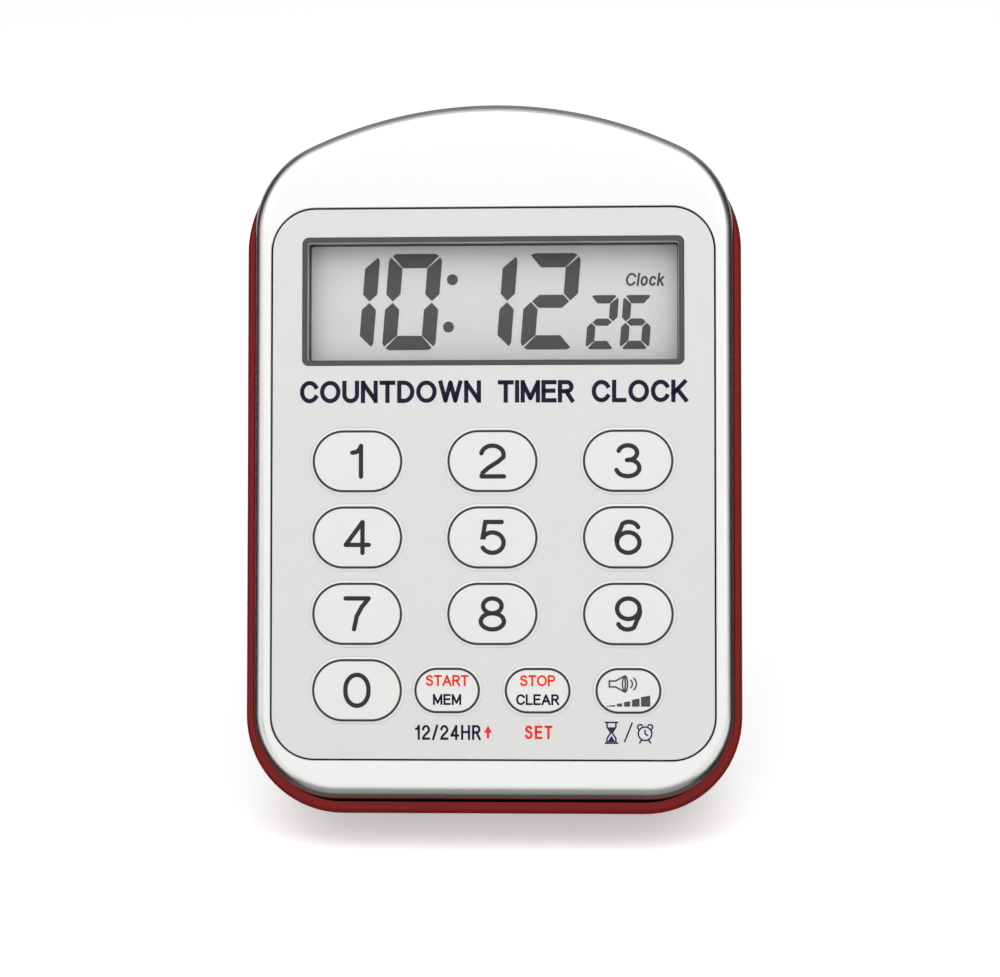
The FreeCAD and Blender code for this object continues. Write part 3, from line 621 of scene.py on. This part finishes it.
def printText(name, text, centre, height, stroke, total, ink, key=None, roundEnds=False, widen=1.0):
    # a line of text fitted to its total width, centred on a point of the panel or of a key
    inner, wide = height - stroke, total - stroke
    if len(text) == 1:
        widen = wide / (glyphs[text][0] * inner)
    bare = textStrokes(text, inner, 0.0, widen)[1]
    gaps = max(len(text.replace(" ", "")) - 1, 1) if " " not in text else len(text) - 1
    spacing = (wide - bare) / gaps if len(text) > 1 else 0.0
    strokes, got = [], 0.0
    x = 0.0
    for ch in text:
        if ch == " ":
            x += inner * 0.42 + spacing
            continue
        s, w = textStrokes(ch, inner, 0.0, widen)
        strokes += [p + [x, 0] for p in s]
        x += w + spacing
    got = x - spacing
    points, faces = placeStrokes(strokes, stroke, roundEnds)
    points = points + [centre[0] - got / 2, centre[1] - inner / 2]
    if key:
        depth = surfaceDepth(key, points[:, 0], points[:, 1]) - keyLook["inkLift"]
        return inkPiece(name, points, faces, depth, keyBodies[key], materials[ink])
    depth = np.full(len(points), keyLook["panelDepth"] - keyLook["inkLift"])
    return inkPiece(name, points, faces, depth, "case", materials[ink])


digit = {"height": 5.05, "stroke": 0.64, "width": 3.95}
for n in range(10):
    key = "key_%d" % n
    cx, cz, w, h = keyTable[key]
    wide = 1.90 if n == 1 else digit["width"]
    offset = -0.12 if n == 1 else 0.0
    printText(key + "_figure", str(n), (cx + offset, cz), digit["height"], digit["stroke"], wide,
              "ink_dark", key=key, roundEnds=True)

cx, cz = keyTable["key_start"][:2]
printText("key_start_upper", "START", (cx, cz + 1.42), 1.58, 0.29, 6.15, "ink_red", "key_start")
printText("key_start_lower", "MEM", (cx, cz - 1.28), 1.56, 0.29, 4.05, "ink_navy", "key_start")
cx, cz = keyTable["key_stop"][:2]
printText("key_stop_upper", "STOP", (cx, cz + 1.42), 1.58, 0.29, 5.05, "ink_red", "key_stop")
printText("key_stop_lower", "CLEAR", (cx, cz - 1.28), 1.56, 0.29, 6.15, "ink_navy", "key_stop")
print("key legends done")

heading = {"height": 3.22, "stroke": 0.62, "z": 57.98}
for part, x0, x1 in (("COUNTDOWN", -27.75, -1.65), ("TIMER", 0.75, 11.70), ("CLOCK", 14.20, 27.95)):
    printText("heading_" + part.lower(), part, ((x0 + x1) / 2, heading["z"]), heading["height"],
              heading["stroke"],
              x1 - x0, "ink_navy")
printText("legend_hours", "12/24HR", (-6.36, 9.22), 2.12, 0.33, 9.40, "ink_navy", widen=0.78)
printText("legend_set", "SET", (6.60, 9.26), 1.94, 0.35, 3.95, "ink_red", widen=0.78)


def flatShape(name, outlines, ink, key=None):
    # filled outlines, each a closed line of points
    points, faces, count = [], [], 0
    for o in outlines:
        o = np.asarray(o, float)
        points.append(o)
        faces.append(list(range(count, count + len(o))))
        count += len(o)
    points = np.vstack(points)
    if key:
        depth = surfaceDepth(key, points[:, 0], points[:, 1]) - keyLook["inkLift"]
        return inkPiece(name, points, faces, depth, keyBodies[key], materials[ink])
    depth = np.full(len(points), keyLook["panelDepth"] - keyLook["inkLift"])
    return inkPiece(name, points, faces, depth, "case", materials[ink])


def strokeShape(name, strokes, width, ink, key=None, roundEnds=True):
    # lines of one width, on the panel or following a key's surface
    points, faces = placeStrokes([np.asarray(s, float) for s in strokes], width, roundEnds)
    if key:
        depth = surfaceDepth(key, points[:, 0], points[:, 1]) - keyLook["inkLift"]
        return inkPiece(name, points, faces, depth, keyBodies[key], materials[ink])
    depth = np.full(len(points), keyLook["panelDepth"] - keyLook["inkLift"])
    return inkPiece(name, points, faces, depth, "case", materials[ink])


flatShape("legend_arrow", [[(-0.80, 8.38), (-0.44, 8.38), (-0.44, 9.26), (-0.80, 9.26)],
                           [(-1.20, 9.18), (-0.04, 9.18), (-0.62, 10.20)]], "ink_red")

glass = {"x": 16.98, "z": 9.24, "w": 1.74, "h": 2.94}


def hourglass():
    # two end lines, two sides pinched at the middle, and two triangles of sand
    x, z, w, h = glass["x"], glass["z"], glass["w"] / 2, glass["h"] / 2
    strokes = [[(x - w, z + h), (x + w, z + h)], [(x - w, z - h), (x + w, z - h)]]
    for s in (-1, 1):
        strokes.append([(x + s * w * 0.74, z + h), (x + s * w * 0.72, z + h * 0.55), (x + s * 0.10, z),
                        (x + s * w * 0.72, z - h * 0.55), (x + s * w * 0.74, z - h)])
    strokeShape("legend_hourglass", strokes, 0.23, "ink_blue")
    flatShape("legend_sand", [[(x - 0.52, z + 0.78), (x + 0.52, z + 0.78), (x, z + 0.05)],
                              [(x - 0.56, z - h + 0.14), (x + 0.56, z - h + 0.14), (x, z - 0.40)]],
                              "ink_blue")


hourglass()
strokeShape("legend_slash", [[(18.86, 7.98), (19.92, 10.62)]], 0.22, "ink_navy")

bell = {"x": 21.76, "z": 9.12, "r": 0.96}


def alarmClock():
    # a ring with two hands, two feet and two bell arcs
    x, z, r = bell["x"], bell["z"], bell["r"]
    strokes = [curve(x, z, r, r, 0, 360, 41), [(x, z + 0.50), (x, z), (x + 0.34, z - 0.24)],
               [(x - 0.50, z - r + 0.02), (x - 0.78, z - r - 0.34)],
               [(x + 0.50, z - r + 0.02), (x + 0.78, z - r - 0.34)]]
    for s in (-1, 1):
        strokes.append(curve(x + s * 0.70, z + 0.92, 0.36, 0.36, s * 45 - 95, s * 45 + 95, 15))
    strokeShape("legend_alarm", strokes, 0.23, "ink_blue")


alarmClock()


volume = {"lift": 0.98, "line": 0.24, "thin": 0.22, "mouthX": -0.48, "mouth": (0.36, 1.14),
          "waves": (1.05, 1.62),
          "horn": ((-2.72, -0.42), (-1.84, -0.42), (-0.52, -1.14), (-0.42, 0.0), (-0.52, 1.14),
                   (-1.84, 0.42),
                   (-2.72, 0.42)),
          "barBase": -2.24,
          "bars": ((-3.17, -1.90, -2.16, -1.98), (-1.65, -0.89, -1.86, -1.75), (-0.63, 0.25, -1.60, -1.46),
                   (0.51, 1.59, -1.26, -1.06), (1.78, 3.10, -0.90, -0.64))}


def volumeKey():
    # a horn with an oval mouth and two sound arcs, over five bars whose tops follow one rising line
    cx, cz = keyTable["key_volume"][:2]
    x, z, v = cx + volume["mouthX"], cz + volume["lift"], volume
    horn = [(cx + dx, z + dz) for dx, dz in v["horn"]]
    strokeShape("key_volume_horn", [horn + [horn[0]]], v["line"], "ink_soft", "key_volume")
    rings = [curve(x, z, v["mouth"][0], v["mouth"][1], 0, 360, 33)]
    for r in v["waves"]:
        rings.append(curve(x, z, r, r * 0.80, 50, 130, 13))
    strokeShape("key_volume_waves", rings, v["thin"], "ink_soft", "key_volume")
    base = cz + v["barBase"]
    bars = [[(cx + x0, base), (cx + x1, base), (cx + x1, cz + high), (cx + x0, cz + low)]
            for x0, x1, low, high in v["bars"]]
    flatShape("key_volume_bars", bars, "ink_soft", "key_volume")


volumeKey()
print("panel print done")

lcd = {"depth": 3.685, "slant": math.tan(math.radians(4.5)), "stroke": 2.08, "gap": 0.085, "round": 0.95,
       "baseZ": 64.28, "tall": 13.98, "small": 7.85, "smallStroke": 1.22, "wide": 7.75, "narrow": 4.28,
       "tallAt": (("hour_1", "1", -25.35), ("hour_2", "0", -16.30), ("minute_1", "1", -5.35),
                  ("minute_2", "2", 3.78)),
       "smallAt": (("second_1", "2", 13.20), ("second_2", "6", 18.12)),
       "dots": ((-6.04, 74.49), (-6.60, 67.61)), "dotRadius": 0.80}
segmentsOf = {"0": "abcdef", "1": "bc", "2": "abged", "6": "afgedc"}


def segmentOutlines(w, h, t, gap, corner):
    # seven bars of one figure: 45 degree ends with a hairline gap, outer corners cut round
    m, g = h / 2, gap
    c = corner
    return {
        "a": [(c * 0.3 + g * 2.4, h - c * 0.3), (c + g, h), (w - c - g, h),
              (w - c * 0.3 - g * 2.4, h - c * 0.3),
              (w - t - g * 0.4, h - t), (t + g * 0.4, h - t)],
        "b": [(w, h - c - g), (w - c * 0.3, h - c * 0.3 - g * 2.4), (w - t, h - t - g * 0.4),
              (w - t, m + t / 2 + g),
              (w - t / 2, m + g), (w, m + t / 2 + g)],
        "c": [(w, c + g), (w - c * 0.3, c * 0.3 + g * 2.4), (w - t, t + g * 0.4), (w - t, m - t / 2 - g),
              (w - t / 2, m - g), (w, m - t / 2 - g)],
        "d": [(c * 0.3 + g * 2.4, c * 0.3), (c + g, 0), (w - c - g, 0), (w - c * 0.3 - g * 2.4, c * 0.3),
              (w - t - g * 0.4, t), (t + g * 0.4, t)],
        "e": [(0, c + g), (c * 0.3, c * 0.3 + g * 2.4), (t, t + g * 0.4), (t, m - t / 2 - g), (t / 2, m - g),
              (0, m - t / 2 - g)],
        "f": [(0, h - c - g), (c * 0.3, h - c * 0.3 - g * 2.4), (t, h - t - g * 0.4), (t, m + t / 2 + g),
              (t / 2, m + g), (0, m + t / 2 + g)],
        "g": [(t / 2 + g * 1.6, m), (t + g, m + t / 2 - g), (w - t - g, m + t / 2 - g),
              (w - t / 2 - g * 1.6, m),
              (w - t - g, m - t / 2 + g), (t + g, m - t / 2 + g)],
    }


def lcdFigure(name, ch, x, w, h, t):
    # the lit bars of one figure, each point moved right by the slant times its height
    outlines = segmentOutlines(w, h, t, lcd["gap"], lcd["round"] * t / 2.08)
    points, faces, count = [], [], 0
    for s in segmentsOf[ch]:
        o = np.array(outlines[s])
        o = np.stack([x + o[:, 0] + o[:, 1] * lcd["slant"], lcd["baseZ"] + o[:, 1]], 1)
        points.append(o)
        faces.append(list(range(count, count + len(o))))
        count += len(o)
    points = np.vstack(points)
    return inkPiece(name, points, faces, np.full(len(points), lcd["depth"]), "case",
                    materials["lcd_dark"])


for part, ch, x in lcd["tallAt"]:
    lcdFigure("display_" + part, ch, x, lcd["wide"], lcd["tall"], lcd["stroke"])
for part, ch, x in lcd["smallAt"]:
    lcdFigure("display_" + part, ch, x, lcd["narrow"], lcd["small"], lcd["smallStroke"])


def lcdDots():
    # two discs
    points, faces, count = [], [], 0
    for x, z in lcd["dots"]:
        ring = curve(x, z, lcd["dotRadius"], lcd["dotRadius"], 0, 360, 33)[:-1]
        points.append(ring)
        faces.append(list(range(count, count + len(ring))))
        count += len(ring)
    points = np.vstack(points)
    inkPiece("display_colon", points, faces, np.full(len(points), lcd["depth"]), "case",
             materials["lcd_dark"])


lcdDots()


def lcdWord():
    # slanted strokes, letter after letter
    strokes = []
    x = 0.0
    inner = 1.60
    for ch in "Clock":
        s, w = textStrokes(ch, inner, 0.0, 0.92, slant=0.14)
        strokes += [p + [x, 0] for p in s]
        x += w + 0.50
    points, faces = placeStrokes(strokes, 0.32, False)
    points = points + [19.12, 73.58]
    inkPiece("display_word", points, faces, np.full(len(points), lcd["depth"]), "case",
             materials["lcd_dark"])


lcdWord()
print("display done")

studio = {"floorSize": 6.0, "floorGlow": 0.45, "frontGlow": 0.76, "topGlow": 0.42, "nearGlow": 1.15,
          "roomGlow": 0.20}


def makeFloor():
    # one large pale square at the height of the feet
    s = studio["floorSize"]
    mesh = bpy.data.meshes.new("floor")
    mesh.from_pydata([(-s, -s, 0), (s, -s, 0), (s, s, 0), (-s, s, 0)], [], [(0, 1, 2, 3)])
    obj = bpy.data.objects.new("floor", mesh)
    bpy.context.scene.collection.objects.link(obj)
    m, tree, shader = newMaterial("whiteSweep", "#F7F7F7", 0.9)
    shader.inputs["Specular IOR Level"].default_value = 0.0
    shader.inputs["Emission Color"].default_value = linear("#FFFFFF")
    # the glow lifts the backdrop in view only, and puts no light on the underside of the object
    path = addNode(tree, "ShaderNodeLightPath")
    glow = addNode(tree, "ShaderNodeMath", [(0, path.outputs["Is Camera Ray"])], operation="MULTIPLY")
    glow.inputs[1].default_value = studio["floorGlow"]
    tree.links.new(glow.outputs[0], shader.inputs["Emission Strength"])
    mesh.materials.append(m)


makeFloor()


def areaLight(name, position, target, size, glow):
    # a soft box at a place in the row frame, in metres, aimed at a point; power is glow times pi times area
    data = bpy.data.lights.new(name, "AREA")
    data.shape = "RECTANGLE"
    data.size, data.size_y = size
    data.energy = glow * math.pi * size[0] * size[1]
    obj = bpy.data.objects.new(name, data)
    bpy.context.scene.collection.objects.link(obj)
    p = Vector(position)
    obj.location = p
    obj.rotation_mode = "QUATERNION"
    obj.rotation_quaternion = (Vector(target) - p).to_track_quat("-Z", "Y")
    obj.visible_camera = False
    return obj


def glossCard(name, corners, grey):
    # A sheet that glows a set grey and shows only in reflections: a painted reflection of light or shade on
    # the shiny parts. It takes no light from the object.
    mesh = bpy.data.meshes.new(name)
    mesh.from_pydata(corners, [], [(0, 1, 2, 3)])
    obj = bpy.data.objects.new(name, mesh)
    bpy.context.scene.collection.objects.link(obj)
    m = bpy.data.materials.new(name + "PaintedReflection")
    m.use_nodes = True
    tree = m.node_tree
    tree.nodes.remove(tree.nodes["Principled BSDF"])
    glow = addNode(tree, "ShaderNodeEmission", in_Strength=1.0)
    tree.links.new(glow.outputs[0], tree.nodes["Material Output"].inputs["Surface"])
    if isinstance(grey, float):
        glow.inputs["Color"].default_value = (grey, grey, grey, 1.0)
    else:
        coord = addNode(tree, "ShaderNodeTexCoord")
        part = addNode(tree, "ShaderNodeSeparateXYZ", [(0, coord.outputs["Object"])])
        last = None
        for (y0, g0), (y1, g1) in zip(grey[:-1], grey[1:]):
            # one straight ramp for each stretch, added up: each adds its own rise
            step = addNode(tree, "ShaderNodeMapRange", [("Value", part.outputs["Y"])])
            low = g0 if last is None else 0.0
            for key, value in zip(("From Min", "From Max", "To Min", "To Max"),
                                  (y0, y1, low, low + g1 - g0)):
                step.inputs[key].default_value = value
            total = step.outputs["Result"]
            if last is not None:
                total = addNode(tree, "ShaderNodeMath", [(0, last), (1, total)], operation="ADD").outputs[0]
            last = total
        tree.links.new(last, glow.inputs["Color"])
    mesh.materials.append(m)
    for ray in ("camera", "diffuse", "transmission", "volume_scatter", "shadow"):
        setattr(obj, "visible_" + ray, False)
    return obj


def makeCamera():
    # placed in the face frame, in millimetres, with its axes there
    place = np.array([23.476, -406.861, 28.812])
    forward = np.array([-0.054918, 0.99779, 0.037392])
    right = np.array([0.998489, 0.054942, 0.000404])
    forward, right = forward @ axes, right @ axes
    right = right - forward * (right @ forward)
    forward /= np.linalg.norm(forward)
    right /= np.linalg.norm(right)
    up = np.cross(right, forward)
    turn = Matrix([[right[k], up[k], -forward[k]] for k in range(3)])
    data = bpy.data.cameras.new("camera")
    data.sensor_width = 36.0
    data.lens = 2850.0 / 1000 * 36
    data.clip_start, data.clip_end = 0.01, 50
    obj = bpy.data.objects.new("camera", data)
    bpy.context.scene.collection.objects.link(obj)
    obj.rotation_mode = "QUATERNION"
    obj.rotation_quaternion = turn.to_quaternion()
    obj.location = toWorld([place])[0]
    bpy.context.scene.camera = obj
    return Vector(forward)


lookDir = makeCamera()
centre = Vector(toWorld([[0, 5, 50]])[0])
areaLight("frontBox", centre - lookDir * 1.1 + Vector((0, 0, 0.3)), centre, (3.4, 3.0), studio["frontGlow"])
areaLight("topBox", (0, -0.45, 1.35), (0, -0.45, 0), (3.2, 2.1), studio["topGlow"])
areaLight("nearBox", (0, -0.15, 0.45), (0, 0, 0.05), (0.50, 0.30), studio["nearGlow"])

# Painted shade for the bezel's rolled edge, on sheets seen only in reflections: dark at both sides, and
# along the floor in front a grey ramp that is a painted contact shadow, darkest just in front of the base.
# The ramp's places are distances in front of the bezel's bottom edge, in millimetres.
paintedShadeCards = {"side": 0.120, "lift": 0.0004, "dark": 0.01, "frontHalf": 0.045, "frontReach": 0.110,
        "ramp": ((0.0, 0.13), (3.0, 0.05), (7.0, 0.06), (9.5, 0.26), (30.0, 0.30), (110.0, 0.95))}


paintedSideReflection = {"x": 1.75, "top": 1.7, "front": -1.2,
            "left": ((-0.9, 0.92), (-0.35, 0.86), (-0.05, 0.40), (0.3, 0.05)),
            "right": ((-0.9, 0.92), (-0.55, 0.80), (-0.20, 0.30), (0.1, 0.05))}


def makeCards():
    # tall glowing sheets either side, seen only in reflections, carry a painted reflection of the soft box
    # round the rolled edge, fading to the back
    for name, s in (("left", -1), ("right", 1)):
        x, y, z = s * paintedSideReflection["x"], paintedSideReflection["front"], paintedSideReflection["top"]
        glossCard("board" + name.title(), [(x, y, -0.3), (x, 0.3, -0.3), (x, 0.3, z), (x, y, z)],
                  paintedSideReflection[name])
    x, lift, edgeY = paintedShadeCards["side"], paintedShadeCards["lift"], float(toWorld([[0, 2.4, 0]])[0][1])
    # dark sheets upright at each side and flat on the floor beside the base: painted dark reflections and
    # painted shade for the rolled edge
    for name, s in (("cardLeft", -1), ("cardRight", 1)):
        glossCard(name, [(s * x, -0.035, 0), (s * x, 0.045, 0), (s * x, 0.130, 0.22), (s * x, 0.060, 0.22)],
                  paintedShadeCards["dark"])
        glossCard(name + "Floor", [(s * 0.037, -0.045, lift), (s * x, -0.035, lift), (s * x, 0.045, lift),
                                   (s * 0.037, -0.010, lift)], paintedShadeCards["dark"])
    # the front strip's grey ramp is the painted contact shadow
    y, w = edgeY - paintedShadeCards["frontReach"], paintedShadeCards["frontHalf"]
    glossCard("paintedContactShadowStrip", [(-w, y, lift), (w, y, lift), (w, edgeY + 0.01, lift), (-w, edgeY + 0.01, lift)],
              [(edgeY - d / 1000, g) for d, g in paintedShadeCards["ramp"]])


makeCards()

world = bpy.data.worlds.new("studio")
bpy.context.scene.world = world
world.use_nodes = True
tree = world.node_tree
room = tree.nodes["Background"]
room.inputs["Color"].default_value = linear("#FFFFFF")
room.inputs["Strength"].default_value = studio["roomGlow"]
sky = addNode(tree, "ShaderNodeBackground", in_Strength=1.0)
path = addNode(tree, "ShaderNodeLightPath")
blend = addNode(tree, "ShaderNodeMixShader", [(0, path.outputs["Is Camera Ray"]), (1, room.outputs[0]),
                                               (2, sky.outputs[0])])
sky.inputs["Color"].default_value = linear("#FFFFFF")
tree.links.new(blend.outputs[0], tree.nodes["World Output"].inputs["Surface"])
bpy.context.scene.view_settings.view_transform = "Standard"
bpy.context.scene.view_settings.look = "None"
print("stage done")
